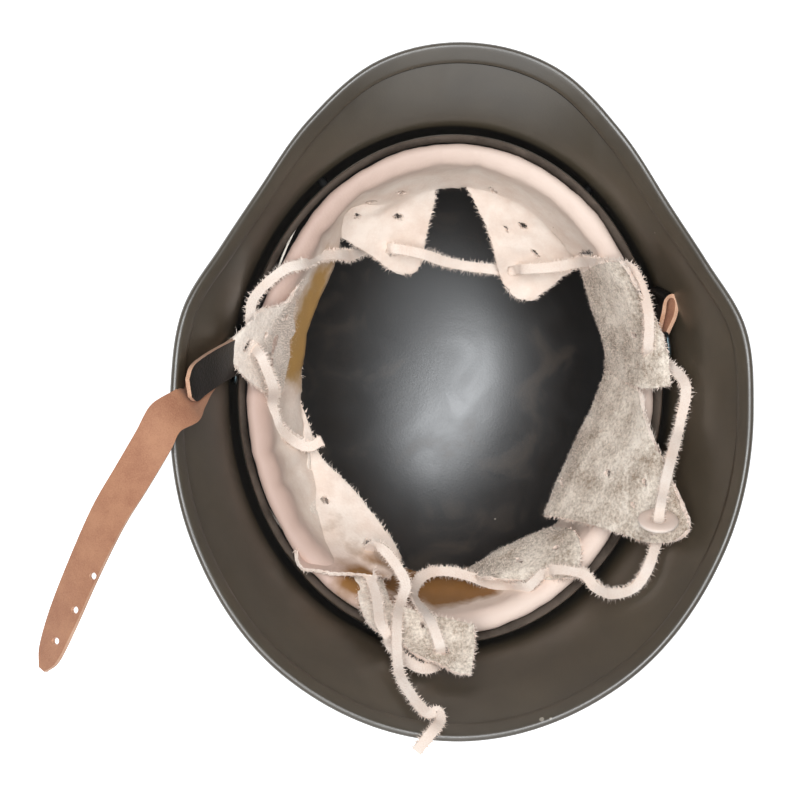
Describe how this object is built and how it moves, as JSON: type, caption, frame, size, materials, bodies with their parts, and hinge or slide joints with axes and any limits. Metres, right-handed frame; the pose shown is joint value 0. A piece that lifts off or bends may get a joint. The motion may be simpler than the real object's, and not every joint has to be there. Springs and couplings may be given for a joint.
{
  "type": "steel helmet with open leather liner",
  "caption": "Pressed steel helmet with a flared skirt and rolled rim, resting on its crown, with an unlaced leather finger liner on steel bands and a loose chin strap.",
  "frame": {"origin": "centre of the small flat at the crown's outside, which the helmet rests on", "axes": "+Z from the crown to the open rim, +Y to the visor, +X to the wearer's left"},
  "size_m": [0.289, 0.291, 0.1745],
  "materials": {
    "shell_paint": "satin field grey paint with a fine orange peel",
    "band_steel": "rolled spring steel, dull",
    "liner_hide": "undyed vegetable-tanned pigskin, smooth grain and suede flesh side",
    "strap_hide": "brown strap leather, dark grain and tan flesh side"
  },
  "bodies": {
    "root": {"shell": "shell_paint", "liner_outer_band": "band_steel", "liner_inner_band": "band_steel", "band_spring_1": "band_steel", "band_spring_2": "band_steel", "band_spring_3": "band_steel", "band_spring_4": "band_steel", "liner_pin_1": "shell_paint", "liner_pin_2": "shell_paint", "liner_pin_3": "shell_paint", "strap_bail_left": "band_steel", "strap_bail_right": "band_steel", "liner_leather": "liner_hide", "liner_lace": "liner_hide", "lace_washer": "liner_hide", "chin_strap_long": "strap_hide", "chin_strap_short": "strap_hide"}
  },
  "joints": []
}
